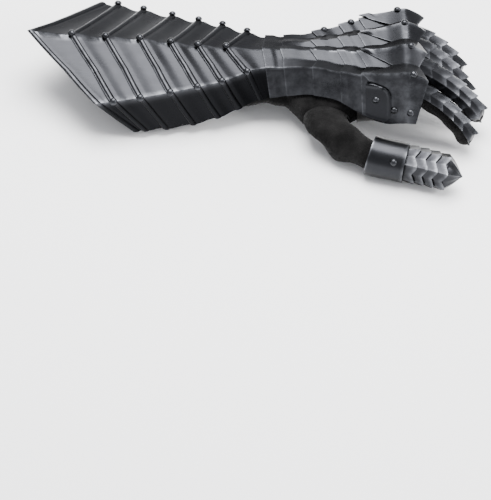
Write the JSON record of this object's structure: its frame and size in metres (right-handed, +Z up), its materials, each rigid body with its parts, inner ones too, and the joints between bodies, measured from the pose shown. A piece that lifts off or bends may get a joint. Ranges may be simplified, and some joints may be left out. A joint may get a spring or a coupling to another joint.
{
  "type": "armoured gauntlet",
  "caption": "Left-hand armoured gauntlet: overlapping ribbed cuff lames, fluted hand and knuckle plates and scaled fingers on a suede glove with straps.",
  "frame": {"origin": "centre of the bounding box at its base, which is the surface that the gauntlet lies on", "axes": "+X from the elbow tip towards the fingertips, +Y away from the thumb, +Z up"},
  "size_m": [0.4142, 0.179, 0.092],
  "materials": {
    "blackened_steel": "blackened and polished, satin to gloss",
    "suede": "black suede, matte",
    "strap_leather": "dark grey strap leather, matte",
    "silver": "plain bright metal"
  },
  "bodies": {
    "root": {"cuff_plate_1": "blackened_steel", "cuff_plate_2": "blackened_steel", "cuff_plate_3": "blackened_steel", "cuff_plate_4": "blackened_steel", "cuff_plate_5": "blackened_steel", "cuff_plate_6": "blackened_steel", "cuff_plate_7": "blackened_steel", "wrist_plate": "blackened_steel", "hand_plate_1": "blackened_steel", "hand_plate_2": "blackened_steel", "hand_plate_3": "blackened_steel", "hand_plate_4": "blackened_steel", "knuckle_plate": "blackened_steel", "index_scale_1": "blackened_steel", "index_scale_2": "blackened_steel", "index_scale_3": "blackened_steel", "index_scale_4": "blackened_steel", "index_scale_5": "blackened_steel", "index_scale_6": "blackened_steel", "middle_scale_1": "blackened_steel", "middle_scale_2": "blackened_steel", "middle_scale_3": "blackened_steel", "middle_scale_4": "blackened_steel", "middle_scale_5": "blackened_steel", "middle_scale_6": "blackened_steel", "ring_scale_1": "blackened_steel", "ring_scale_2": "blackened_steel", "ring_scale_3": "blackened_steel", "ring_scale_4": "blackened_steel", "ring_scale_5": "blackened_steel", "ring_scale_6": "blackened_steel", "little_scale_1": "blackened_steel", "little_scale_2": "blackened_steel", "little_scale_3": "blackened_steel", "little_scale_4": "blackened_steel", "little_scale_5": "blackened_steel", "thumb_plate": "blackened_steel", "thumb_scale_1": "blackened_steel", "thumb_scale_2": "blackened_steel", "thumb_scale_3": "blackened_steel", "thumb_scale_4": "blackened_steel", "thumb_scale_5": "blackened_steel", "glove_body": "suede", "glove_index": "suede", "glove_middle": "suede", "glove_ring": "suede", "glove_little": "suede", "glove_thumb": "suede", "palm_strap": "strap_leather", "cuff_strap": "strap_leather", "buckle_strap": "strap_leather", "buckle_frame": "silver", "buckle_prong": "silver", "strap_rivet": "silver"}
  },
  "joints": []
}
